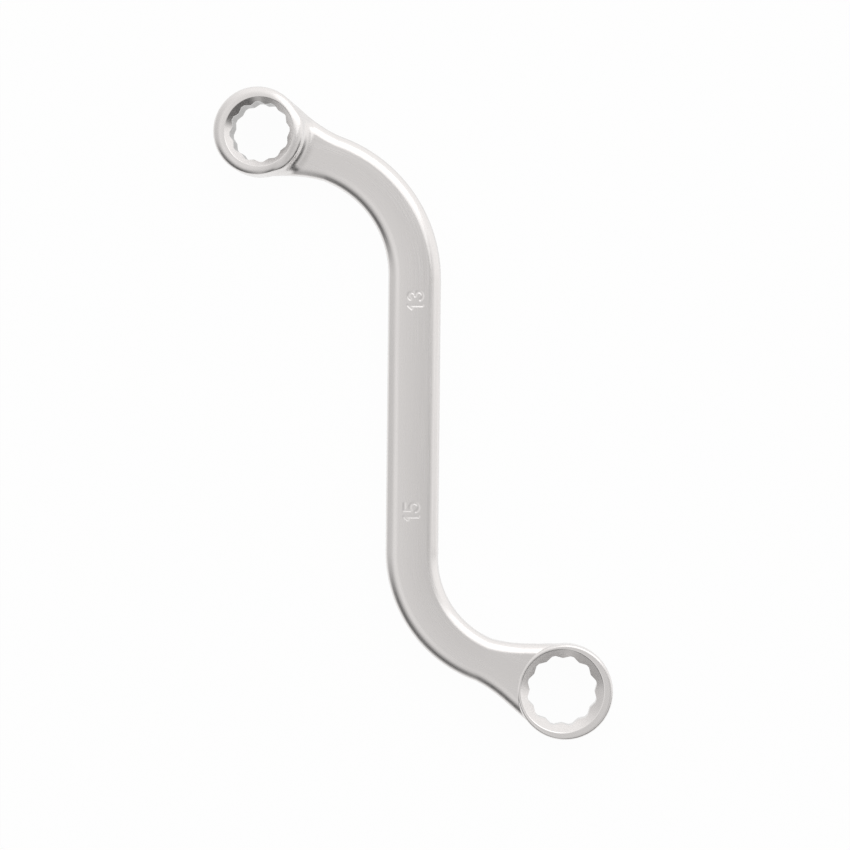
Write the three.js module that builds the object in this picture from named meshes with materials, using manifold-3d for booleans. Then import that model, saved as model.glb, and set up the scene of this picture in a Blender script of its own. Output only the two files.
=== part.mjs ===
// S-shaped double ring spanner: one forging, drawn in the five zones that it is forged from.
// The shank runs along Y, the small ring is at +Y and bends to -X, the large ring is at -Y and
// bends to +X. The small ring stands proud of the front (+Z), the large one of the back.
import * as THREE from 'three';
import { mergeVertices } from 'three/addons/utils/BufferGeometryUtils.js';
import Module from 'manifold-3d';

// Driving dimensions in millimetres, angles in degrees.
const SMALL_NUT = 13;            // across the flats of the nut that each ring takes
const LARGE_NUT = 15;
const NUT_CLEARANCE = 0.15;      // play across the flats
const CORNER_RELIEF = 0.25;      // the nut corners' grooves are cut this much short of a sharp V
const SMALL_RING_WALL = 3.1;     // from a nut corner to the outside of the ring
const LARGE_RING_WALL = 2.75;
const SMALL_RING_HEIGHT = 9.5;
const LARGE_RING_HEIGHT = 10.4;
const SMALL_RING_EDGE = 3.1;     // the rims round off to the ring's outside at this radius
const LARGE_RING_EDGE = 1.2;
const SMALL_LEAD_IN = 0.86;      // width of the countersink outside the nut corners
const LARGE_LEAD_IN = 1.35;
const LEAD_IN_ANGLE = 40;        // slope of the countersink from the ring's face
const SMALL_SOCKET_SHIFT = 0.65; // the socket lies this much nearer the shank, which thickens the tip
const LARGE_SOCKET_SHIFT = 0.75;
const SMALL_SOCKET_TURN = -6;    // the groove nearest the neck is turned off its line by this much
const LARGE_SOCKET_TURN = 5;
const SMALL_TILT = 7;            // the working face leans away from the shank by this much
const LARGE_TILT = 1;
const SMALL_REST_STEP = 0.5;     // the ring stands this proud of the neck on its low side
const LARGE_REST_STEP = 0.1;
const SHANK_LENGTH = 66.4;       // straight stretch between the two bends
const SHANK_WIDTH = 12.7;
const SHANK_THICKNESS = 6.6;
const SHOULDER_RADIUS = 3.9;     // the faces round off to the flanks at this radius
const SHOULDER_ANGLE = 45;       // slope at which faces and rims meet the flanks and the ring's outside
const SMALL_BEND_ANGLE = 70.5;
const LARGE_BEND_ANGLE = 69.3;
const SMALL_BEND_RADIUS = 30.3;  // on the centreline
const LARGE_BEND_RADIUS = 27.1;
const SMALL_NECK_LENGTH = 18.7;  // from the end of the bend to the ring's centre
const LARGE_NECK_LENGTH = 21.1;
const SMALL_NECK_WIDTH = 11.4;   // at the end of the bend
const LARGE_NECK_WIDTH = 10.6;
const FLARE_ANGLE = 20;          // the neck's sides open by this much to meet the ring
const FLARE_BLEND = 2;           // softness of the corner where the flare starts
const FLARE_BITE = 0.1;          // the flared sides run this deep into the ring
const CREASE_RADIUS = 2;         // hollow between the neck and the ring's proud wall

// Fineness of the facets.
const CORNER_STEPS = 5;
const BEND_STEPS = 14;
const NECK_STEPS = 14;
const RING_SEGMENTS = 72;
const EDGE_STEPS = 4;
const FACE_POINTS = 8;
const MERGE_DISTANCE = 1e-5;

const NUT_CORNERS = 12;
const UP = new THREE.Vector3(0, 0, 1);
const radians = THREE.MathUtils.degToRad;
const mix = THREE.MathUtils.lerp;

const wasm = await Module();
wasm.setup();

// turn: which way along Y and X the end lies; face: the side (+Z or -Z) that its ring stands proud of.
const smallEnd = describeEnd({
  turn: 1, face: 1, nut: SMALL_NUT, height: SMALL_RING_HEIGHT, leadIn: SMALL_LEAD_IN,
  wall: SMALL_RING_WALL, edge: SMALL_RING_EDGE, tiltAngle: SMALL_TILT, restStep: SMALL_REST_STEP,
  socketShift: SMALL_SOCKET_SHIFT, socketTurn: SMALL_SOCKET_TURN,
  bendAngle: SMALL_BEND_ANGLE, bendRadius: SMALL_BEND_RADIUS,
  neckLength: SMALL_NECK_LENGTH, neckWidth: SMALL_NECK_WIDTH,
});
const largeEnd = describeEnd({
  turn: -1, face: -1, nut: LARGE_NUT, height: LARGE_RING_HEIGHT, leadIn: LARGE_LEAD_IN,
  wall: LARGE_RING_WALL, edge: LARGE_RING_EDGE, tiltAngle: LARGE_TILT, restStep: LARGE_REST_STEP,
  socketShift: LARGE_SOCKET_SHIFT, socketTurn: LARGE_SOCKET_TURN,
  bendAngle: LARGE_BEND_ANGLE, bendRadius: LARGE_BEND_RADIUS,
  neckLength: LARGE_NECK_LENGTH, neckWidth: LARGE_NECK_WIDTH,
});

// Radii, directions and places of one end, all from its driving sizes.
function describeEnd(sizes) {
  const { turn, face, nut, height, bendRadius, neckLength } = sizes;
  const bend = radians(sizes.bendAngle);
  const tilt = radians(sizes.tiltAngle);
  const flats = nut + NUT_CLEARANCE;
  const cornerRadius = flats / Math.sqrt(3);
  const outerRadius = cornerRadius + sizes.wall;
  const outward = new THREE.Vector3(-Math.sin(bend), Math.cos(bend), 0).multiplyScalar(turn);
  const sideways = new THREE.Vector3().crossVectors(UP, outward);
  const bendCentre = new THREE.Vector3(-bendRadius, SHANK_LENGTH / 2, 0).multiplyScalar(turn);
  const bendEnd = sideways.clone().multiplyScalar(-bendRadius).add(bendCentre);
  const ringPlan = outward.clone().multiplyScalar(neckLength).add(bendEnd);
  const lowStep = SHANK_THICKNESS / 2 + sizes.restStep;
  const ringLift = height / 2 * Math.cos(tilt) - outerRadius * Math.sin(tilt) - lowStep;
  const ringCentre = UP.clone().multiplyScalar(face * ringLift).add(ringPlan);
  const axis = outward.clone().multiplyScalar(face * Math.sin(tilt)).addScaledVector(UP, Math.cos(tilt));
  return {
    ...sizes, bend, tilt, flats, cornerRadius, outerRadius, outward, sideways,
    bendCentre, ringPlan, ringLift, ringCentre, axis,
  };
}

// Section of the shank, once round, as (sideways, up) points: flat faces, shoulders that round off
// to the flanks, and upright flanks.
function sectionOutline(width) {
  const slope = radians(SHOULDER_ANGLE);
  const radius = Math.min(SHOULDER_RADIUS, width / 2 / Math.sin(slope));
  const across = width / 2 - radius * Math.sin(slope);
  const upward = SHANK_THICKNESS / 2 - radius;
  const points = [];
  const signs = [[1, 1], [-1, 1], [-1, -1], [1, -1]];
  signs.forEach(([right, top], corner) => {
    for (let step = 0; step <= CORNER_STEPS; step += 1) {
      const share = step / CORNER_STEPS;
      const angle = slope * (corner % 2 === 0 ? 1 - share : share);
      const u = right * (across + radius * Math.sin(angle));
      points.push(new THREE.Vector2(u, top * (upward + radius * Math.cos(angle))));
    }
    if (corner % 2 === 0) {
      for (let step = 1; step < FACE_POINTS; step += 1) {
        const u = right * across * (1 - 2 * step / FACE_POINTS);
        points.push(new THREE.Vector2(u, top * (upward + radius)));
      }
    }
  });
  return points;
}

// Closed solid through a row of sections that all have the same number of points.
function loft(sections) {
  const count = sections[0].length;
  const positions = sections.flat().flatMap((point) => point.toArray());
  const index = [];
  for (let row = 0; row < sections.length - 1; row += 1) {
    for (let side = 0; side < count; side += 1) {
      const a = row * count + side;
      const b = row * count + (side + 1) % count;
      index.push(a, b + count, b, a, a + count, b + count);
    }
  }
  const last = (sections.length - 1) * count;
  for (let side = 1; side < count - 1; side += 1) {
    index.push(0, side, side + 1, last, last + side + 1, last + side);
  }
  const geometry = new THREE.BufferGeometry();
  geometry.setAttribute('position', new THREE.Float32BufferAttribute(positions, 3));
  geometry.setIndex(index);
  return geometry;
}

// Section of the bend at a share of its turn, narrowing steadily from the shank to the neck.
function bendSection(end, share) {
  const angle = end.bend * share;
  const across = new THREE.Vector3(Math.cos(angle), Math.sin(angle), 0).multiplyScalar(end.turn);
  const width = mix(SHANK_WIDTH, 2 * neckHalfWidth(end, end.neckLength), share);
  return sectionOutline(width).map(({ x, y }) => (
    across.clone().multiplyScalar(end.bendRadius + x).add(end.bendCentre).setZ(y)
  ));
}

// Half the neck's width at a distance from the ring's centre: straight, then a line that flares
// to the ring, with a soft corner between the two.
function neckHalfWidth(end, distance) {
  const flare = radians(FLARE_ANGLE);
  const reach = (end.outerRadius - FLARE_BITE) / Math.cos(flare) - distance * Math.tan(flare);
  const excess = reach - end.neckWidth / 2;
  const soft = Math.max(excess + FLARE_BLEND, 0) ** 2 / (4 * FLARE_BLEND);
  return end.neckWidth / 2 + (excess > FLARE_BLEND ? excess : soft);
}

// Rise of the neck's face into the ring's proud wall: a hollow quarter round, then a dive inside the ring.
function creaseRise(end, distance, sideways) {
  const reach = Math.hypot(distance, sideways);
  const proud = end.ringLift + end.height / 2 * Math.cos(end.tilt) - SHANK_THICKNESS / 2;
  const wall = proud + distance * Math.tan(end.tilt) - end.edge * (1 - Math.cos(radians(SHOULDER_ANGLE)));
  const radius = Math.max(Math.min(CREASE_RADIUS, wall), 0);
  const inside = end.outerRadius - reach;
  if (inside <= -radius) return 0;
  if (inside <= 0) return radius - Math.sqrt(radius ** 2 - (radius + inside) ** 2);
  return radius * THREE.MathUtils.clamp(2 - 4 * inside / end.wall, 0, 1);
}

// Sections of the neck, straight at the bend and wrapped round the ring at the other end, which
// lies in the ring's wall. The last one is flat and closes the solid inside the ring.
function neckSections(end) {
  const outline = sectionOutline(2 * neckHalfWidth(end, end.neckLength));
  const halfStart = neckHalfWidth(end, end.neckLength);
  const flare = radians(FLARE_ANGLE);
  const wrap = Math.PI / 2 - flare;
  const deepest = end.outerRadius - end.wall / 2;
  const flankEnd = (end.outerRadius - FLARE_BITE) * Math.sin(flare);
  const place = (distance, across, z) => end.outward.clone().multiplyScalar(-distance)
    .addScaledVector(end.sideways, -across).add(end.ringPlan).setZ(z);
  const sections = [bendSection(end, 1)];
  for (let step = 1; step <= NECK_STEPS + 1; step += 1) {
    const part = Math.min(step / NECK_STEPS, 1);
    const eased = part * (2 - part);
    const middle = mix(end.neckLength, deepest, eased);
    const flank = mix(end.neckLength, flankEnd, eased);
    const half = neckHalfWidth(end, flank);
    sections.push(outline.map(({ x, y }) => {
      const v = x / halfStart;
      const across = half * mix(v, Math.sin(v * wrap) / Math.sin(wrap), eased);
      const bow = mix(v * v, (1 - Math.cos(v * wrap)) / (1 - Math.cos(wrap)), eased);
      const distance = mix(middle, flank, bow);
      const rise = y * end.face > 0 ? creaseRise(end, distance, across) : 0;
      const z = y * (1 + rise / (SHANK_THICKNESS / 2));
      return place(step > NECK_STEPS ? flankEnd : distance, across, z);
    }));
  }
  return sections;
}

// Round blank of the ring, its axis along Z, with rims that round off to its outside.
function ringBlank(end) {
  const slope = radians(SHOULDER_ANGLE);
  const edge = Math.min(end.edge, end.height / 2, end.outerRadius / Math.sin(slope));
  const profile = [new THREE.Vector2(0, -end.height / 2)];
  [-1, 1].forEach((side) => {
    for (let step = 0; step <= EDGE_STEPS; step += 1) {
      const share = step / EDGE_STEPS;
      const angle = slope * (side < 0 ? share : 1 - share);
      const radius = end.outerRadius - edge * (Math.sin(slope) - Math.sin(angle));
      profile.push(new THREE.Vector2(radius, side * (end.height / 2 - edge * (1 - Math.cos(angle)))));
    }
  });
  profile.push(new THREE.Vector2(0, end.height / 2));
  return new THREE.LatheGeometry(profile, RING_SEGMENTS).rotateX(Math.PI / 2);
}

// Nut socket right through the ring: two hexagons crossed at 30 degrees, with the grooves for the
// nut's corners relieved by a narrow land.
function nutSocket(end) {
  const pitch = 2 * Math.PI / NUT_CORNERS;
  const groove = end.cornerRadius - CORNER_RELIEF;
  const halfLand = CORNER_RELIEF * Math.tan(Math.PI / 3);
  const tooth = [
    new THREE.Vector2(groove, -halfLand),
    new THREE.Vector2(groove, halfLand),
    new THREE.Vector2(end.flats / 2, end.flats / 2 * Math.tan(pitch / 2)),
  ];
  const centre = new THREE.Vector2();
  const outline = Array.from({ length: NUT_CORNERS }, (_, corner) => (
    tooth.map((point) => point.clone().rotateAround(centre, corner * pitch))
  ));
  const depth = 2 * end.height;
  const settings = { depth, bevelEnabled: false };
  return new THREE.ExtrudeGeometry(new THREE.Shape(outline.flat()), settings)
    .rotateZ(radians(end.socketTurn)).translate(0, 0, -depth / 2);
}

// Countersink at one face of the ring, a cone that ends inside the socket.
function leadIn(end, side) {
  const mouth = end.cornerRadius + end.leadIn;
  const floor = end.flats / 4;
  const slope = Math.tan(radians(LEAD_IN_ANGLE));
  const bottom = end.height / 2 - (mouth - floor) * slope;
  const top = end.height / 2 + end.wall * slope;
  const profile = [[0, bottom], [floor, bottom], [mouth + end.wall, top], [0, top]];
  const points = profile.map(([radius, level]) => new THREE.Vector2(radius, level));
  return new THREE.LatheGeometry(points, RING_SEGMENTS).rotateX(side * Math.PI / 2);
}

// Ring head: the neck joined to the ring's blank, with the nut socket and its two countersinks cut out.
function ringHead(end) {
  const tilted = new THREE.Matrix4()
    .makeBasis(end.sideways.clone().cross(end.axis), end.sideways, end.axis)
    .setPosition(end.ringCentre);
  const placed = (geometry) => solid(geometry.applyMatrix4(tilted));
  const cut = [nutSocket(end), leadIn(end, 1), leadIn(end, -1)]
    .map((tool) => placed(tool.translate(-end.socketShift, 0, 0)));
  const blank = solid(loft(neckSections(end))).add(placed(ringBlank(end)));
  return fromSolid(cut.reduce((body, tool) => body.subtract(tool), blank));
}

// Change a closed geometry to a solid that can be joined and cut, and back.
function solid(geometry) {
  geometry.deleteAttribute('normal');
  geometry.deleteAttribute('uv');
  const merged = mergeVertices(geometry, MERGE_DISTANCE);
  const corners = merged.index.array;
  const triangles = [];
  for (let first = 0; first < corners.length; first += 3) {
    const triangle = corners.slice(first, first + 3);
    if (new Set(triangle).size === 3) triangles.push(...triangle);
  }
  return new wasm.Manifold(new wasm.Mesh({
    numProp: 3,
    vertProperties: merged.getAttribute('position').array,
    triVerts: new Uint32Array(triangles),
  }));
}

function fromSolid(body) {
  const { vertProperties, triVerts } = body.getMesh();
  const geometry = new THREE.BufferGeometry();
  geometry.setAttribute('position', new THREE.BufferAttribute(vertProperties, 3));
  geometry.setIndex(new THREE.BufferAttribute(triVerts, 1));
  return geometry;
}

// Straight shank between the first sections of the two bends.
function shankLoft() {
  const outline = sectionOutline(SHANK_WIDTH);
  return loft([-1, 1].map((side) => outline.map(({ x, y }) => (
    new THREE.Vector3(x, side * SHANK_LENGTH / 2, y)
  ))));
}

function bendLoft(end) {
  return loft(Array.from({ length: BEND_STEPS + 1 }, (_, step) => bendSection(end, step / BEND_STEPS)));
}

const chrome = new THREE.MeshStandardMaterial({ color: 0xc9c7c5, roughness: 0.18, metalness: 1 });
const spanner = new THREE.Group();
spanner.position.z = SHANK_THICKNESS / 2;

function addZone(name, geometry) {
  const zone = new THREE.Mesh(geometry, chrome.clone());
  zone.name = name;
  spanner.add(zone);
}

addZone('ring_head_13', ringHead(smallEnd));
addZone('bend_13', bendLoft(smallEnd));
addZone('shank', shankLoft());
addZone('bend_15', bendLoft(largeEnd));
addZone('ring_head_15', ringHead(largeEnd));

export default spanner;
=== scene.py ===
import bpy
import numpy as np
from mathutils import Matrix, Vector


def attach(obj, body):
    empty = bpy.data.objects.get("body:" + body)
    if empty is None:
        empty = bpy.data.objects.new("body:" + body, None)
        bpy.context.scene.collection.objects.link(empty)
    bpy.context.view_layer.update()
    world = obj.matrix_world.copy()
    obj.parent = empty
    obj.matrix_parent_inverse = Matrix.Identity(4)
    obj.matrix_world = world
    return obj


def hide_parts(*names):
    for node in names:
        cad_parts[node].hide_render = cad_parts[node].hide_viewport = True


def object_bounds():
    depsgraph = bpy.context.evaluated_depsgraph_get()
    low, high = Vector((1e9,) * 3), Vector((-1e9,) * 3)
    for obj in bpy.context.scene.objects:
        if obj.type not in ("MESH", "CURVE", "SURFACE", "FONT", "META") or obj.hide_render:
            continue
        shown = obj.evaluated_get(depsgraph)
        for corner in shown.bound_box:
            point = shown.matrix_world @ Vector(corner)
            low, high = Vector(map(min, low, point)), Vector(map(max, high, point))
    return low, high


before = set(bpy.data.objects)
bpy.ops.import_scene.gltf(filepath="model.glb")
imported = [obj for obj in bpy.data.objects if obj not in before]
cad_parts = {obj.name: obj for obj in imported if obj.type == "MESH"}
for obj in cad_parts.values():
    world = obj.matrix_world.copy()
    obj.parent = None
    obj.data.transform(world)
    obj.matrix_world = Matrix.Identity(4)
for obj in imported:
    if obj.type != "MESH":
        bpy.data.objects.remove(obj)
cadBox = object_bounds()
print("frame loaded:", len(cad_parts), "nodes")

# Shapes are worked out in millimetres and degrees, and go into the meshes in metres.
metresPerMm = 0.001

# the bar that is bent to the S
bar = {
    "length": 66.4,         # straight stretch between the bends
    "halfWidth": 6.35,
    "thickness": 6.6,
    "shoulder": 3.9,        # the faces round off to the flanks at this radius
    "shoulderSlope": 45.0,  # and meet them at this slope
    "corner": 0.3,          # softness of the edge between shoulder and flank
    "draft": 3.0,           # lean of the flanks away from the parting line
    "crown": 0.35,          # the faces fall by this much from their middle to their edges
    "flare": 20.0,          # the neck opens by this much on each side to meet the ring
    "flareBlend": 2.0,
    "flareBite": 0.1,       # the flare's sides run this deep into the ring
    "creaseBlend": 3.6,     # hollow between the neck and the ring's proud wall
    "creaseStart": 0.85,    # the hollow is full from this share of the ring's radius
    "flankBlend": 0.12,
}

# each end: turn is the way it lies along Y, face is the side that its ring stands proud of, lip is half the
# width of the soft edge at the socket's mouth, and socket shade is how much painted shade darkens the
# socket's wall
smallEnd = {
    "name": "13", "turn": 1, "face": 1,
    "bend": 70.5, "bendRadius": 30.3, "neckLength": 18.7, "neckHalf": 5.7,
    "ringRadius": 10.69, "ringHeight": 9.5, "ringEdge": 3.1, "tilt": 7.0, "lowStep": 0.5,
    "flats": 13.15, "mouth": 8.45, "relief": 0.25, "leadIn": 40.0, "socketShift": 0.65, "socketTurn": -6.0,
    "lip": 0.1, "socketShade": 1.0,
}
largeEnd = {
    "name": "15", "turn": -1, "face": -1,
    "bend": 69.3, "bendRadius": 27.1, "neckLength": 21.1, "neckHalf": 5.3,
    "ringRadius": 11.5, "ringHeight": 10.4, "ringEdge": 1.2, "tilt": 1.0, "lowStep": 0.1,
    "flats": 15.15, "mouth": 10.1, "relief": 0.25, "leadIn": 40.0, "socketShift": 0.75, "socketTurn": 5.0,
    "lip": 0.22, "socketShade": 0.3,
}

# how finely the skin is drawn
fine = {
    "frontRows": 36, "backRows": 14, "fanRows": 26,  # over each face and round the flanks
    "neckColumns": 22, "bendColumns": 44, "socketRows": 5, "boreRows": 10,
    "flareStart": 13.0,     # the ring's columns reach this far from its centre
    "spread": 0.65,         # and spread along the flare by this power
    "inset": 2.6,           # rays to the flanks start this deep in the bar
    "hub": 0.55,            # and at this share of the ring's wall
    "hubLimit": 0.7,
    "reach": 13.0, "halvings": 36, "slopeStep": 0.01,
}
middle = bar["thickness"] / 2


# Directions and places of one end: the S is a straight, an arc and a straight neck, the ring's centre
# is at the neck's end, and the ring leans from the vertical by its tilt.
def placeEnd(end):
    bend, tilt = np.radians(end["bend"]), np.radians(end["tilt"])
    outward = end["turn"] * np.array([-np.sin(bend), np.cos(bend), 0.0])
    across = end["turn"] * np.array([np.cos(bend), np.sin(bend), 0.0])
    bendCentre = end["turn"] * np.array([-end["bendRadius"], bar["length"] / 2, 0.0])
    plan = bendCentre + end["bendRadius"] * across + end["neckLength"] * outward
    lift = end["ringHeight"] / 2 * np.cos(tilt) - end["ringRadius"] * np.sin(tilt) - middle - end["lowStep"]
    axis = end["face"] * np.sin(tilt) * outward + np.array([0.0, 0.0, np.cos(tilt)])
    end.update(outward=outward, across=across, plan=plan, axis=axis, toNeck=np.cross(across, axis))
    end["centre"] = plan + np.array([0.0, 0.0, middle + end["face"] * lift])
    end["socket"] = end["centre"] + end["socketShift"] * end["toNeck"]
    end["touch"] = end["ringRadius"] * np.sin(np.radians(bar["flare"]))  # where the flare meets the ring


# Half the neck's width at a distance from the ring's centre: straight, then a slope to the ring,
# with a parabola over the corner between them.
def neckHalfWidth(end, distance):
    flare, blend = np.radians(bar["flare"]), bar["flareBlend"]
    slope = (end["ringRadius"] - bar["flareBite"]) / np.cos(flare) - distance * np.tan(flare)
    excess = slope - end["neckHalf"]
    soft = np.maximum(excess + blend, 0) ** 2 / (4 * blend)
    return end["neckHalf"] + np.where(excess > blend, excess, soft)


# Place of points along and across one half of the S: the turn about the bend's centre, held between
# nothing and the whole bend, gives the nearest section; the bar narrows with that turn.
def placeOnBar(end, points):
    bend = np.radians(end["bend"])
    fromX = end["turn"] * points[..., 0] + end["bendRadius"]
    fromY = end["turn"] * points[..., 1] - bar["length"] / 2
    angle = np.clip(np.arctan2(fromY, fromX), 0, bend)
    across = np.cos(angle) * fromX + np.sin(angle) * fromY - end["bendRadius"]
    past = np.where(angle < bend, np.minimum(fromY, 0), np.cos(bend) * fromY - np.sin(bend) * fromX)
    neckStart = neckHalfWidth(end, end["neckLength"])
    narrowed = bar["halfWidth"] + (neckStart - bar["halfWidth"]) * angle / bend
    onNeck = (angle >= bend) & (past > 0)
    toRing = end["neckLength"] - np.maximum(past, 0)
    halfWidth = np.where(onNeck, neckHalfWidth(end, toRing), narrowed)
    station = bar["length"] / 2 + end["bendRadius"] * angle + past
    return station, across, halfWidth, toRing


# Distance from a rectangle with rounded corners, from the distances past its two sides.
def roundedCorner(pastSide, pastTop, radius):
    side, top = pastSide + radius, pastTop + radius
    outside = np.hypot(np.maximum(side, 0), np.maximum(top, 0))
    return np.minimum(np.maximum(side, top), 0) + outside - radius


# Distance from a face with a round shoulder that a side cuts off where it has reached the shoulder's
# slope; the edge between the two is a little soft.
def shouldered(pastSide, pastFace, radius):
    beyond = radius * (1 - np.sin(np.radians(bar["shoulderSlope"])))
    pastShoulder = roundedCorner(pastSide - beyond, pastFace, radius)
    overlap = np.maximum(bar["corner"] - np.abs(pastShoulder - pastSide), 0)
    return np.maximum(pastShoulder, pastSide) + overlap ** 2 / (4 * bar["corner"])


# Distance from the bar: crowned faces with round shoulders, cut by flanks that lean back from the
# parting line, with a soft edge between them; the bar is ended inside the ring.
def barField(end, points):
    station, across, halfWidth, toRing = placeOnBar(end, points)
    draft = np.radians(bar["draft"])
    height = np.abs(points[..., 2] - middle)
    pastFlank = (np.abs(across) - halfWidth) * np.cos(draft) + height * np.sin(draft)
    fall = bar["crown"] * np.minimum(np.abs(across / halfWidth), 1) ** 2
    pastFace = height - middle + fall
    bareBar = shouldered(pastFlank, pastFace, bar["shoulder"])
    reach = np.hypot(points[..., 0] - end["plan"][0], points[..., 1] - end["plan"][1])
    wallMiddle = (end["ringRadius"] + end["mouth"]) / 2
    return np.maximum(bareBar, np.maximum(wallMiddle - reach, end["touch"] - toRing)), toRing


# Distance from the ring's blank: a leaning drum whose rims round off to its outside.
def ringField(end, points):
    offset = points - end["centre"]
    level = offset @ end["axis"]
    radius = np.sqrt(np.maximum((offset ** 2).sum(-1) - level ** 2, 0))
    return shouldered(radius - end["ringRadius"], np.abs(level) - end["ringHeight"] / 2, end["ringEdge"])


# One end of the forging: bar and ring joined by a smooth minimum, whose softness grows from the flanks
# to the proud side and from the flare's touch to the neck's middle, where the ring rises in a hollow.
def endField(end, points):
    ring = ringField(end, points)
    neck, toRing = barField(end, points)
    rise = np.clip((points[..., 2] - middle) * end["face"] / middle, 0, 1)
    fullCrease = bar["creaseStart"] * end["ringRadius"]
    inward = np.clip((toRing - end["touch"]) / (fullCrease - end["touch"]), 0, 1)
    share = (rise * inward) ** 2 * (3 - 2 * rise) * (3 - 2 * inward)
    blend = bar["flankBlend"] + (bar["creaseBlend"] - bar["flankBlend"]) * share
    overlap = np.maximum(blend - np.abs(ring - neck), 0)
    return np.minimum(ring, neck) - overlap ** 2 / (4 * blend)


# The whole forging: the small end above the shank's middle, the large end below it.
def forgingField(points):
    return np.where(points[..., 1] >= 0, endField(smallEnd, points), endField(largeEnd, points))


# Unit slope of the field, by differences over a small step.
def forgingNormals(points):
    shifts = fine["slopeStep"] * np.eye(3)
    slope = np.stack([forgingField(points + s) - forgingField(points - s) for s in shifts], -1)
    return slope / np.linalg.norm(slope, axis=-1, keepdims=True)


# Where rays from inside the forging leave it, by halving the interval.
def castRays(origins, directions):
    near = np.zeros(np.broadcast(origins, directions).shape[:-1])
    far = np.full_like(near, fine["reach"])
    for _ in range(fine["halvings"]):
        half = (near + far) / 2
        inside = forgingField(origins + half[..., None] * directions) < 0
        near = np.where(inside, half, near)
        far = np.where(inside, far, half)
    return origins + far[..., None] * directions


# Rows of the skin over one side of the bar or ring, for columns that run from an inner line to the
# outline: upright rays over each face, and a fan of rays from a hub inside the flank.
def skinRows(innerFront, innerBack, outline, away, inset):
    up = np.array([0.0, 0.0, 1.0])
    hub = np.append(outline - inset[:, None] * away, np.full((len(outline), 1), middle), 1)
    level = np.append(away, np.zeros((len(away), 1)), 1)
    halves = []
    for inner, side, rows in ((innerFront, 1, fine["frontRows"]), (innerBack, -1, fine["backRows"])):
        start = np.append(inner, np.full((len(inner), 1), middle), 1)
        share = np.linspace(0, 1, rows + 1)[:, None]
        origins = start[:, None] + share * (hub - start)[:, None]
        face = castRays(origins, np.broadcast_to(side * up, origins.shape))
        height = np.abs(face[:, -1, 2] - middle)[:, None, None]
        turn = np.radians(np.linspace(90, 0, fine["fanRows"] + 1))[1:, None]
        rays = side * height * np.sin(turn) * up + inset[:, None, None] * np.cos(turn) * level[:, None]
        rays /= np.linalg.norm(rays, axis=-1, keepdims=True)
        fan = castRays(np.broadcast_to(hub[:, None], rays.shape), rays)
        halves.append(np.concatenate([face, fan], 1))
    return np.concatenate([halves[0], halves[1][:, -2::-1]], 1)


# Quads of a grid of points, all turned to face the way of its normals or of the hints, with a normal
# at each corner.
def gridQuads(grid, normals=None, hints=None):
    def corners(values):
        around = [values[:-1, :-1], values[1:, :-1], values[1:, 1:], values[:-1, 1:]]
        return np.stack(around, 2).reshape(-1, 4, 3)

    quads = corners(grid)
    flat = np.cross(quads[:, 2] - quads[:, 0], quads[:, 3] - quads[:, 1])
    flat /= np.maximum(np.linalg.norm(flat, axis=-1, keepdims=True), 1e-12)
    wanted = corners(normals).mean(1) if hints is None else np.broadcast_to(hints, flat.shape)
    facing = np.sign((flat * wanted).sum())
    shade = np.repeat(facing * flat[:, None], 4, 1) if normals is None else corners(normals)
    return (quads, shade) if facing > 0 else (quads[:, ::-1], shade[:, ::-1])


# Quads of the skin, shaded by the field's own slope.
def skinQuads(grid):
    return gridQuads(grid, forgingNormals(grid))


# Flat end of a zone, a ladder between the two sides of its last section.
def capQuads(plus, minus, facing):
    return gridQuads(np.stack([plus, minus]), None, facing)


# Columns over both sides of the bar at stations given by centres, directions across and half widths.
def barColumns(centres, across, halfWidths):
    inset = np.full(len(centres), fine["inset"])
    return [skinRows(centres, centres, centres + s * halfWidths[:, None] * across, s * across, inset)
            for s in (1, -1)]


# The mesh of a piece from its quads: equal corners are merged, and quads with a doubled corner
# become triangles.
def addPiece(name, groups, replaced):
    quads = np.concatenate([g[0] for g in groups])
    shade = np.concatenate([g[1] for g in groups])
    flatPoints = np.round(quads.reshape(-1, 3), 5)
    vertices, index = np.unique(flatPoints, axis=0, return_inverse=True)
    index = index.reshape(-1, 4)
    doubled = index == np.roll(index, -1, 1)
    whole = ~doubled.any(1)
    faces, normals = index[whole].tolist(), [shade[whole].reshape(-1, 3)]
    for corner in range(4):
        cut = doubled[:, corner] & (doubled.sum(1) == 1)
        faces += np.delete(index[cut], corner, 1).tolist()
        normals.append(np.delete(shade[cut], corner, 1).reshape(-1, 3))
    mesh = bpy.data.meshes.new(name)
    mesh.from_pydata((vertices * metresPerMm).tolist(), [], faces)
    mesh.shade_smooth()
    mesh.normals_split_custom_set(np.concatenate(normals).tolist())
    addLay(mesh, vertices)
    piece = bpy.data.objects.new(name, mesh)
    bpy.context.collection.objects.link(piece)
    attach(piece, "root")
    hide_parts(replaced)
    print(name, len(vertices), "vertices", len(faces), "faces")
    return piece


# the painted shade on the socket's wall starts this far inside its mouth and comes in over this depth
socketShadeSpan = {"edge": 0.3, "fade": 0.6}
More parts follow.
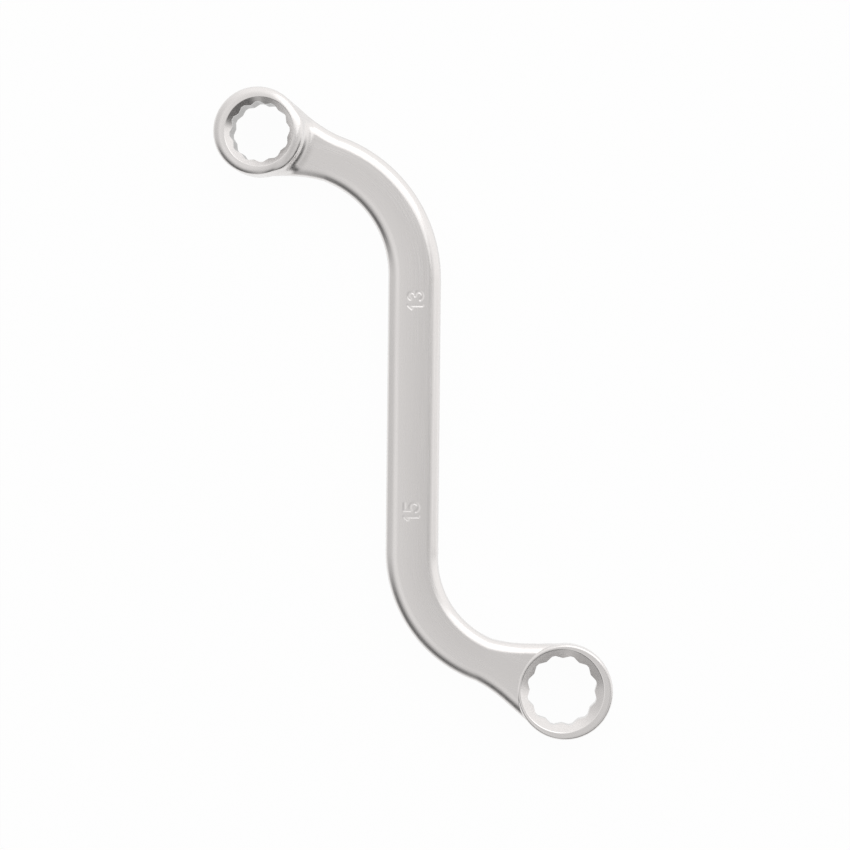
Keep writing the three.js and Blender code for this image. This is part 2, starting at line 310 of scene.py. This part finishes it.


# Attributes for the finish: lay is the place along, across and through the S, and socket is the painted shade
# on the nut sockets' walls, by their depth under the countersink.
def addLay(mesh, vertices):
    small = vertices[:, 1] >= 0
    lay, socket = np.zeros_like(vertices), np.zeros(len(vertices))
    for end, mine in ((smallEnd, small), (largeEnd, ~small)):
        station, across, _, _ = placeOnBar(end, vertices[mine])
        lay[mine] = np.stack([end["turn"] * station, end["turn"] * across, vertices[mine, 2]], 1)
        offset = vertices[mine] - end["socket"]
        radius = np.linalg.norm(offset - (offset @ end["axis"])[:, None] * end["axis"], axis=1)
        depth = end["ringHeight"] / 2 - np.abs(offset @ end["axis"])
        coneDepth = (end["mouth"] - radius) * np.tan(np.radians(end["leadIn"]))
        # painted shade: the socket's wall darkens from under the countersink inwards
        inside = np.clip((depth - coneDepth) / socketShadeSpan["fade"], 0, 1)
        socket[mine] = end["socketShade"] * inside * (radius < end["mouth"] - socketShadeSpan["edge"])
    laid = mesh.attributes.new("lay", "FLOAT_VECTOR", "POINT")
    laid.data.foreach_set("vector", lay.astype(np.float32).ravel())
    shadeLevels = mesh.attributes.new("socket", "FLOAT", "POINT")
    shadeLevels.data.foreach_set("value", socket.astype(np.float32))


# Angles of the ring's columns, from one nut corner's groove round to itself, with columns on each
# edge of the twelve grooves.
def ringAngles(end):
    halfLand = np.degrees(np.arctan(end["relief"] * np.sqrt(3) / grooveRadius(end)))
    side = np.array([0, halfLand / 2, halfLand, 5, 7.5, 10, 12.5, 14.5, 15])
    tooth = np.concatenate([side[:-1], 30 - side[:0:-1]])
    return end["socketTurn"] + np.append((tooth + 30 * np.arange(12)[:, None]).ravel(), 360)


# Radius of the lands that relieve the nut's corners.
def grooveRadius(end):
    return end["flats"] / np.sqrt(3) - end["relief"]


# Radius of the twelve-point socket by angle: the flats of two crossed hexagons, cut short by a land
# at each nut corner's groove.
def socketRadius(end, angles):
    fromGroove = np.abs((angles - end["socketTurn"] + 15) % 30 - 15)
    flat = end["flats"] / 2 / np.cos(np.radians(30 - fromGroove))
    land = grooveRadius(end) / np.cos(np.radians(fromGroove))
    return np.minimum(flat, land)


# Points of the leaning ring from angle, radius and level.
def onRing(end, angles, radius, level):
    turn = np.radians(angles)[..., None]
    spoke = np.cos(turn) * end["toNeck"] + np.sin(turn) * end["across"]
    return end["socket"] + radius[..., None] * spoke + level[..., None] * end["axis"]


# Ring head: the skin's columns go up one side of the neck, once round the ring and down the other.
# Inside, the socket's rows go from the front mouth down a cone, along the broached wall and out
# by the other cone.
def makeRingHead(end, replaced):
    turn = ringAngles(end)
    flare = 90 - bar["flare"]
    half = np.ones(len(turn))
    half[len(turn) // 2:] = -1
    fromNeck = np.where(half > 0, turn, 360 - turn)
    startAngle = np.where(half > 0, turn[0], -turn[0])
    share = np.clip((flare - fromNeck) / (flare - startAngle), 0, 1)
    distance = end["touch"] + (fine["flareStart"] - end["touch"]) * share ** fine["spread"]
    onFlank = share > 0
    ringSpoke = np.radians(fromNeck)
    outD = np.where(onFlank, distance, end["ringRadius"] * np.cos(ringSpoke))
    ringHalf = np.sqrt(np.maximum(end["ringRadius"] ** 2 - distance ** 2, 0))
    flankHalf = np.maximum(neckHalfWidth(end, distance), ringHalf)
    outU = np.where(onFlank, flankHalf, end["ringRadius"] * np.sin(ringSpoke))
    awayAngle = np.radians(np.where(onFlank, flare + bar["flare"] * share, fromNeck))
    back = -end["outward"][:2]
    side = end["across"][:2]

    def fromNeckFrame(d, u):
        return end["plan"][:2] + d[:, None] * back + u[:, None] * side

    outline = fromNeckFrame(outD, half * outU)
    away = np.cos(awayAngle)[:, None] * back + (half * np.sin(awayAngle))[:, None] * side
    rim = end["mouth"] + end["lip"]
    levels = end["ringHeight"] / 2 * np.ones(len(turn))
    mouths = [onRing(end, turn, np.full(len(turn), rim), s * levels)[:, :2] for s in (1, -1)]
    walls = np.min([((outline - mouth) * away).sum(-1) for mouth in mouths], 0)
    ease = share ** 2 * (3 - 2 * share)
    inset = np.minimum(fine["hub"] * walls * (1 - ease) + fine["inset"] * ease, fine["hubLimit"] * walls)
    ringSkin = skinRows(mouths[0], mouths[1], outline, away, inset)

    # the neck's columns, whose inner line leaves the mouth and joins the middle of the bar
    along = np.linspace(0, 1, fine["neckColumns"] + 1)
    flankD = fine["flareStart"] + (end["neckLength"] - fine["flareStart"]) * along
    inner = []
    for mouth in mouths:
        first = mouth[0] - end["plan"][:2]
        innerD = first @ back + (end["neckLength"] - first @ back) * along
        inner.append(fromNeckFrame(innerD, (first @ side) * (1 - along) ** 2))
    width = neckHalfWidth(end, flankD)
    neckInset = np.full(len(along), fine["inset"])
    sideways = np.broadcast_to(side, inner[0].shape)
    necks = [skinRows(inner[0], inner[1], fromNeckFrame(flankD, s * width), s * sideways, neckInset)
             for s in (1, -1)]
    skin = np.concatenate([necks[0][:0:-1], ringSkin, necks[1][1:]])
    groups = [skinQuads(skin), capQuads(necks[0][-1], necks[1][-1], -end["outward"])]

    # the socket, from mouth to mouth
    wall = socketRadius(end, turn)
    slope = np.radians(end["leadIn"])
    for s, mouthRow in ((1, ringSkin[:, 0]), (-1, ringSkin[:, -1])):
        lip = end["mouth"] - end["lip"]
        lipLevel = end["ringHeight"] / 2 - end["lip"] * np.tan(slope)
        radii = lip + (wall[:, None] - lip) * np.linspace(0, 1, fine["socketRows"])
        drop = lipLevel - (lip - radii) * np.tan(slope)
        cone = onRing(end, np.repeat(turn[:, None], fine["socketRows"], 1), radii, s * drop)
        spoke = onRing(end, turn, np.ones(len(turn)), np.zeros(len(turn))) - end["socket"]
        coneNormal = s * np.cos(slope) * end["axis"] - np.sin(slope) * spoke
        coneNormals = np.repeat(coneNormal[:, None], fine["socketRows"], 1)
        lipGrid = np.stack([mouthRow, cone[:, 0]], 1)
        rimNormal = np.broadcast_to(s * end["axis"], coneNormal.shape)
        groups.append(gridQuads(lipGrid, np.stack([rimNormal, coneNormal], 1)))
        groups.append(gridQuads(cone, coneNormals))
        if s > 0:
            frontEdge = cone[:, -1]
    boreShares = np.linspace(0, 1, fine["boreRows"] + 1)
    bore = np.stack([frontEdge + (cone[:, -1] - frontEdge) * t for t in boreShares], 1)
    quadTurn = np.repeat((turn[:-1] + turn[1:]) / 2, len(boreShares) - 1)
    inward = end["socket"] - onRing(end, quadTurn, np.ones(len(quadTurn)), np.zeros(len(quadTurn)))
    groups.append(gridQuads(bore, None, inward))
    return addPiece("ring_" + end["name"] + "_forging", groups, replaced)


# Bend: sections at even turns about the bend's centre.
def makeBend(end, replaced):
    angle = np.radians(np.linspace(0, end["bend"], fine["bendColumns"] + 1))
    across = end["turn"] * np.stack([np.cos(angle), np.sin(angle)], 1)
    centre = end["turn"] * np.array([-end["bendRadius"], bar["length"] / 2])
    neckStart = neckHalfWidth(end, end["neckLength"])
    width = bar["halfWidth"] + (neckStart - bar["halfWidth"]) * np.linspace(0, 1, len(angle))
    plus, minus = barColumns(centre + end["bendRadius"] * across, across, width)
    ends = [np.append(end["turn"] * np.array([np.sin(a), -np.cos(a)]), 0) for a in (angle[0], angle[-1])]
    groups = [skinQuads(plus), skinQuads(minus), capQuads(plus[0], minus[0], ends[0]),
              capQuads(plus[-1], minus[-1], -ends[1])]
    return addPiece("bend_" + end["name"] + "_forging", groups, replaced)


# size numerals stamped into the front of the shank, read from the large ring's end upwards
stamps = {
    "height": 3.4, "depth": 0.075, "halfStroke": 0.54, "slope": 0.5, "spacing": 2.5,
    "marks": [("13", 0.25, 27.6), ("15", -0.2, -23.2)],
}


# Strokes of a digit in a box 1 high: points along each, straight or round.
def digitStrokes(digit):
    def arc(x, y, rx, ry, start, stop):
        a = np.radians(np.linspace(start, stop, 14))
        return np.stack([x + rx * np.cos(a), y + ry * np.sin(a)], 1)

    if digit == "1":
        return [np.array([[-0.16, 0.76], [0.06, 1.0], [0.06, 0.0]])]
    if digit == "3":
        upper, lower = arc(0.0, 0.76, 0.25, 0.24, 155, -90), arc(0.0, 0.26, 0.29, 0.26, 90, -155)
        return [np.concatenate([upper, lower])]
    bowl = arc(-0.02, 0.31, 0.31, 0.31, 130, -150)
    return [np.concatenate([np.array([[0.26, 1.0], [-0.22, 1.0]]), bowl])]


# Depth of the stamp at points of the front face: a groove with sloping sides round the strokes.
def stampDepth(places):
    depth = np.zeros(places.shape[:-1])
    for digits, x, y in stamps["marks"]:
        for order, digit in enumerate(digits):
            shift = (order - (len(digits) - 1) / 2) * stamps["spacing"]
            local = np.stack([places[..., 1] - y - shift, x - places[..., 0]], -1) / stamps["height"]
            local[..., 1] += 0.5
            for stroke in digitStrokes(digit):
                start, run = stroke[:-1], np.diff(stroke, axis=0)
                offset = local[..., None, :] - start
                t = np.clip((offset * run).sum(-1) / (run ** 2).sum(-1), 0, 1)
                gap = np.linalg.norm(offset - t[..., None] * run, axis=-1).min(-1) * stamps["height"]
                fall = np.clip((stamps["halfStroke"] - gap) / stamps["slope"], 0, 1)
                depth = np.maximum(depth, stamps["depth"] * fall ** 2 * (3 - 2 * fall))
    return depth


# spacing of the shank's columns: close at the numerals, growing away from them
spacing = {"close": 0.1, "wide": 2.5, "closeHalf": 3.0, "growth": 0.5, "samples": 4001}


# Shank: straight columns, close together at the numerals, with the stamp taken off the front face.
def makeShank():
    half = bar["length"] / 2
    grid = np.linspace(-half, half, spacing["samples"])
    wish = np.full(len(grid), spacing["wide"])
    for _, _, y in stamps["marks"]:
        past = np.maximum(np.abs(grid - y) - spacing["closeHalf"], 0)
        wish = np.minimum(wish, spacing["close"] + past * spacing["growth"])
    count = np.append(0, np.cumsum(np.diff(grid) / ((wish[1:] + wish[:-1]) / 2)))
    station = np.interp(np.linspace(0, count[-1], int(np.ceil(count[-1])) + 1), count, grid)
    centres = np.stack([np.zeros(len(station)), station], 1)
    across = np.broadcast_to(np.array([1.0, 0.0]), centres.shape)
    sides = barColumns(centres, across, np.full(len(station), bar["halfWidth"]))
    front = slice(0, fine["frontRows"] + 1)
    groups = []
    for side in sides:
        normals = forgingNormals(side)
        places = side[:, front, :2]
        step = fine["slopeStep"]
        slope = [(stampDepth(places + s) - stampDepth(places - s)) / (2 * step) for s in step * np.eye(2)]
        normals[:, front, :2] += np.stack(slope, -1)
        normals /= np.linalg.norm(normals, axis=-1, keepdims=True)
        side[:, front, 2] -= stampDepth(places)
        groups.append(gridQuads(side, normals))
    for row, facing in ((0, -1.0), (-1, 1.0)):
        groups.append(capQuads(sides[0][row], sides[1][row], np.array([0.0, facing, 0.0])))
    return addPiece("shank_forging", groups, "shank")


placeEnd(smallEnd)
placeEnd(largeEnd)
pieces = [
    makeRingHead(smallEnd, "ring_head_13"),
    makeBend(smallEnd, "bend_13"),
    makeShank(),
    makeBend(largeEnd, "bend_15"),
    makeRingHead(largeEnd, "ring_head_15"),
]
print("forging skinned:", len(pieces), "pieces")


# nodes by short lines: make one, set its plain values, join its inputs
def addNode(tree, kind, inputs=None, **settings):
    node = tree.nodes.new(kind)
    for key, value in settings.items():
        setattr(node, key, value)
    for key, value in (inputs or {}).items():
        if isinstance(value, bpy.types.NodeSocket):
            tree.links.new(value, node.inputs[key])
        else:
            node.inputs[key].default_value = value
    return node


# a node group with its named inputs and outputs
def newGroup(name, sockets):
    group = bpy.data.node_groups.new(name, "ShaderNodeTree")
    for label, way, kind in sockets:
        group.interface.new_socket(name=label, in_out=way, socket_type=kind)
    start = group.nodes.new("NodeGroupInput")
    finish = group.nodes.new("NodeGroupOutput")
    return group, start.outputs, finish.inputs


# polishing lines that follow the S: noise drawn out along the lay
def polishGroup():
    group, given, out = newGroup("polishLines", [
        ("Lay", "INPUT", "NodeSocketVector"), ("Length", "INPUT", "NodeSocketFloat"),
        ("Across", "INPUT", "NodeSocketFloat"), ("Lines", "OUTPUT", "NodeSocketFloat"),
        ("Bands", "OUTPUT", "NodeSocketFloat")])
    parts = addNode(group, "ShaderNodeSeparateXYZ", {"Vector": given["Lay"]})
    long = addNode(group, "ShaderNodeMath", {0: parts.outputs["X"], 1: given["Length"]}, operation="DIVIDE")
    wide = addNode(group, "ShaderNodeMath", {0: parts.outputs["Y"], 1: given["Across"]}, operation="DIVIDE")
    deep = addNode(group, "ShaderNodeMath", {0: parts.outputs["Z"], 1: given["Across"]}, operation="DIVIDE")
    joined = addNode(group, "ShaderNodeCombineXYZ",
                     {"X": long.outputs[0], "Y": wide.outputs[0], "Z": deep.outputs[0]})
    lines = addNode(group, "ShaderNodeTexNoise", {"Vector": joined.outputs[0], "Scale": 1.0, "Detail": 4.0})
    spread = addNode(group, "ShaderNodeVectorMath", {0: joined.outputs[0], 1: (0.3, 0.06, 0.06)},
                     operation="MULTIPLY")
    bands = addNode(group, "ShaderNodeTexNoise", {"Vector": spread.outputs[0], "Scale": 1.0, "Detail": 1.0})
    group.links.new(lines.outputs["Fac"], out["Lines"])
    group.links.new(bands.outputs["Fac"], out["Bands"])
    return group


# soft unevenness of a forged and plated surface, and fine pits
def forgedGroup():
    group, given, out = newGroup("forgedSurface", [
        ("Vector", "INPUT", "NodeSocketVector"), ("Wave", "INPUT", "NodeSocketFloat"),
        ("Pit", "INPUT", "NodeSocketFloat"), ("Waves", "OUTPUT", "NodeSocketFloat"),
        ("Pits", "OUTPUT", "NodeSocketFloat")])
    waves = addNode(group, "ShaderNodeTexNoise",
                    {"Vector": given["Vector"], "Scale": given["Wave"], "Detail": 2.0})
    specks = addNode(group, "ShaderNodeTexNoise",
                     {"Vector": given["Vector"], "Scale": given["Pit"], "Detail": 3.0})
    pits = addNode(group, "ShaderNodeMapRange",
                   {"Value": specks.outputs["Fac"], "From Min": 0.62, "From Max": 0.8})
    group.links.new(waves.outputs["Fac"], out["Waves"])
    group.links.new(pits.outputs["Result"], out["Pits"])
    return group


chrome = {
    "bright": (0.80, 0.780, 0.770, 1.0),
    "dull": (0.70, 0.682, 0.672, 1.0),
    # painted shade: the dark colour that the sockets' walls are mixed towards
    "socket": (0.27, 0.262, 0.256, 1.0),
    "roughness": (0.17, 0.30),
    "lineLength": 14.0, "lineWidth": 0.22, "lineShare": 0.15,  # polishing lines, in millimetres
    "waves": 160.0, "pits": 2600.0,                            # to the metre
    "relief": 0.00004, "reliefStrength": 0.16,
}


# Chrome plate: polishing lines vary its gloss, they and forged waves its relief, fine pits dull its colour,
# and painted shade darkens the sockets' walls by their depth.
def chromeMaterial():
    material = bpy.data.materials.new("chromePlate")
    material.use_nodes = True
    tree = material.node_tree
    shader = tree.nodes["Principled BSDF"]
    shader.inputs["Metallic"].default_value = 1.0
    lay = addNode(tree, "ShaderNodeAttribute", attribute_name="lay")
    socket = addNode(tree, "ShaderNodeAttribute", attribute_name="socket")
    place = addNode(tree, "ShaderNodeTexCoord")
    polish = addNode(tree, "ShaderNodeGroup", node_tree=polishGroup())
    polish.inputs["Length"].default_value = chrome["lineLength"]
    polish.inputs["Across"].default_value = chrome["lineWidth"]
    tree.links.new(lay.outputs["Vector"], polish.inputs["Lay"])
    forged = addNode(tree, "ShaderNodeGroup", node_tree=forgedGroup())
    forged.inputs["Wave"].default_value = chrome["waves"]
    forged.inputs["Pit"].default_value = chrome["pits"]
    tree.links.new(place.outputs["Object"], forged.inputs["Vector"])
    tone = addNode(tree, "ShaderNodeMix", data_type="RGBA")
    tone.inputs["A"].default_value = chrome["bright"]
    tone.inputs["B"].default_value = chrome["dull"]
    tree.links.new(forged.outputs["Pits"], tone.inputs["Factor"])
    # painted shade: the sockets' walls are mixed towards a dark colour by the socket attribute
    inside = addNode(tree, "ShaderNodeMix", data_type="RGBA")
    inside.inputs["B"].default_value = chrome["socket"]
    tree.links.new(tone.outputs["Result"], inside.inputs["A"])
    tree.links.new(socket.outputs["Fac"], inside.inputs["Factor"])
    tree.links.new(inside.outputs["Result"], shader.inputs["Base Color"])
    low, high = chrome["roughness"]
    gloss = addNode(tree, "ShaderNodeMapRange", {"Value": polish.outputs["Lines"], "From Min": 0.3,
                                                 "From Max": 0.7, "To Min": low, "To Max": high})
    tree.links.new(gloss.outputs["Result"], shader.inputs["Roughness"])
    bands = addNode(tree, "ShaderNodeMath",
                    {0: polish.outputs["Lines"], 1: chrome["lineShare"], 2: polish.outputs["Bands"]},
                    operation="MULTIPLY_ADD")
    total = addNode(tree, "ShaderNodeMath",
                    {0: forged.outputs["Waves"], 1: bands.outputs[0]}, operation="ADD")
    bump = addNode(tree, "ShaderNodeBump",
                   {"Strength": chrome["reliefStrength"], "Distance": chrome["relief"],
                    "Height": total.outputs[0]})
    tree.links.new(bump.outputs["Normal"], shader.inputs["Normal"])
    return material


plate = chromeMaterial()
for piece in pieces:
    piece.data.materials.append(plate)
print("chrome finished")

# studio: pale floor, and a tent of soft light that is grey overhead, bright on one side and dark below
studio = {
    "floorHalf": 4.0, "floorColour": (0.93, 0.93, 0.93, 1.0), "paper": 0.96,
    "tint": (1.0, 0.99, 0.985, 1.0),
    "overhead": (1.08, 0.36), "overheadSpan": (-0.7, 0.7),  # level overhead, from left to right
    "plain": 0.7, "bright": 1.08, "brightWay": 45.0, "brightTurn": (-0.6, 0.5), "brightHeight": (0.99, 0.6),
    "dark": 0.12,
    "darkSides": [  # way, turn, height
        (224.0, (0.74, 0.95), (0.78, 0.38)),
        (310.0, (0.6, 0.88), (0.8, 0.5)),
    ],
    "glowHeight": (0.26, 0.1),     # the dark ends above the horizon
    "boxes": [((0.3, 0.5, 0.75), 0.7, 1.0)],  # place, size, power
}


# Floor at the part's lowest point: paper that takes the shadow, and is white to the camera and in the chrome.
def makeFloor():
    half, level = studio["floorHalf"], cadBox[0].z
    mesh = bpy.data.meshes.new("floor")
    corners = [(-half, -half, level), (half, -half, level), (half, half, level), (-half, half, level)]
    mesh.from_pydata(corners, [], [(0, 1, 2, 3)])
    floor = bpy.data.objects.new("floor", mesh)
    bpy.context.collection.objects.link(floor)
    material = bpy.data.materials.new("palePaper")
    material.use_nodes = True
    tree = material.node_tree
    tree.nodes.remove(tree.nodes["Principled BSDF"])
    lit = addNode(tree, "ShaderNodeBsdfDiffuse", {"Color": studio["floorColour"]})
    white = addNode(tree, "ShaderNodeEmission", {"Strength": 1.0})
    path = addNode(tree, "ShaderNodeLightPath")
    looked = addNode(tree, "ShaderNodeMath",
                     {0: path.outputs["Is Camera Ray"], 1: path.outputs["Is Glossy Ray"]},
                     operation="MAXIMUM")
    seen = addNode(tree, "ShaderNodeMath",
                   {0: looked.outputs[0], 1: path.outputs["Is Transmission Ray"]},
                   operation="MAXIMUM")
    share = addNode(tree, "ShaderNodeMath", {0: seen.outputs[0], 1: studio["paper"]}, operation="MULTIPLY")
    mix = addNode(tree, "ShaderNodeMixShader",
                  {0: share.outputs[0], 1: lit.outputs[0], 2: white.outputs[0]})
    tree.links.new(mix.outputs[0], tree.nodes["Material Output"].inputs["Surface"])
    mesh.materials.append(material)


# World: a level overhead that falls from left to right, and passes towards the horizon to a bright level
# on one side, a plain one on the other and dark sides between.
def makeWorld():
    world = bpy.data.worlds.new("tent")
    world.use_nodes = True
    bpy.context.scene.world = world
    tree = world.node_tree
    def ramp(value, limits, low, high, kind="SMOOTHSTEP"):
        node = addNode(tree, "ShaderNodeMapRange",
                       {"Value": value, "From Min": limits[0], "From Max": limits[1],
                        "To Min": low, "To Max": high}, interpolation_type=kind)
        return node.outputs["Result"]

    place = addNode(tree, "ShaderNodeTexCoord")
    parts = addNode(tree, "ShaderNodeSeparateXYZ", {"Vector": place.outputs["Generated"]})
    level = addNode(tree, "ShaderNodeVectorMath", {0: place.outputs["Generated"], 1: (1.0, 1.0, 0.0)},
                    operation="MULTIPLY")
    level = addNode(tree, "ShaderNodeVectorMath", {0: level.outputs[0]}, operation="NORMALIZE")

    def toward(degrees):
        way = (np.cos(np.radians(degrees)), np.sin(np.radians(degrees)), 0.0)
        node = addNode(tree, "ShaderNodeVectorMath", {0: level.outputs[0], 1: way}, operation="DOT_PRODUCT")
        return node.outputs["Value"]

    overhead = ramp(parts.outputs["X"], studio["overheadSpan"], *studio["overhead"], kind="LINEAR")
    side = ramp(toward(studio["brightWay"]), studio["brightTurn"], studio["plain"], studio["bright"])
    total = ramp(parts.outputs["Z"], studio["brightHeight"], overhead, side)
    for way, turn, height in studio["darkSides"]:
        darkened = ramp(toward(way), turn, total, studio["dark"])
        total = ramp(parts.outputs["Z"], height, total, darkened)
    total = ramp(parts.outputs["Z"], studio["glowHeight"], total, side)
    tree.nodes["Background"].inputs["Color"].default_value = studio["tint"]
    tree.links.new(total, tree.nodes["Background"].inputs["Strength"])


# Softboxes that look at the part's middle.
def makeLamps():
    for number, (place, size, power) in enumerate(studio["boxes"]):
        lamp = bpy.data.lights.new("softbox_%d" % number, "AREA")
        lamp.size = size
        lamp.energy = power
        box = bpy.data.objects.new(lamp.name, lamp)
        box.location = place
        box.rotation_euler = Vector(place).to_track_quat("Z", "Y").to_euler()
        box.visible_camera = False
        bpy.context.collection.objects.link(box)


# camera straight above, turned a little so that the shank leans as in the photograph
camera = {"distance": 1200.0, "across": 204.8, "right": 2.82, "up": -2.18, "turn": 0.58, "sensor": 36.0}


# Lens from the distance and the width in view; right and up place the frame's middle.
def makeCamera():
    turn = np.radians(camera["turn"])
    right = Vector((np.cos(turn), np.sin(turn), 0.0))
    up = Vector((-np.sin(turn), np.cos(turn), 0.0))
    data = bpy.data.cameras.new("camera")
    data.sensor_width = camera["sensor"]
    data.lens = camera["sensor"] * camera["distance"] / camera["across"]
    data.clip_start = 0.01
    shown = bpy.data.objects.new("camera", data)
    place = camera["right"] * right + camera["up"] * up
    place.z = middle + camera["distance"]
    axes = Matrix((right, up, Vector((0.0, 0.0, 1.0)))).transposed().to_4x4()
    shown.matrix_world = Matrix.Translation(place * metresPerMm) @ axes
    bpy.context.collection.objects.link(shown)
    bpy.context.scene.camera = shown


makeFloor()
makeWorld()
makeLamps()
makeCamera()
bpy.context.scene.view_settings.view_transform = "Standard"
print("studio set")
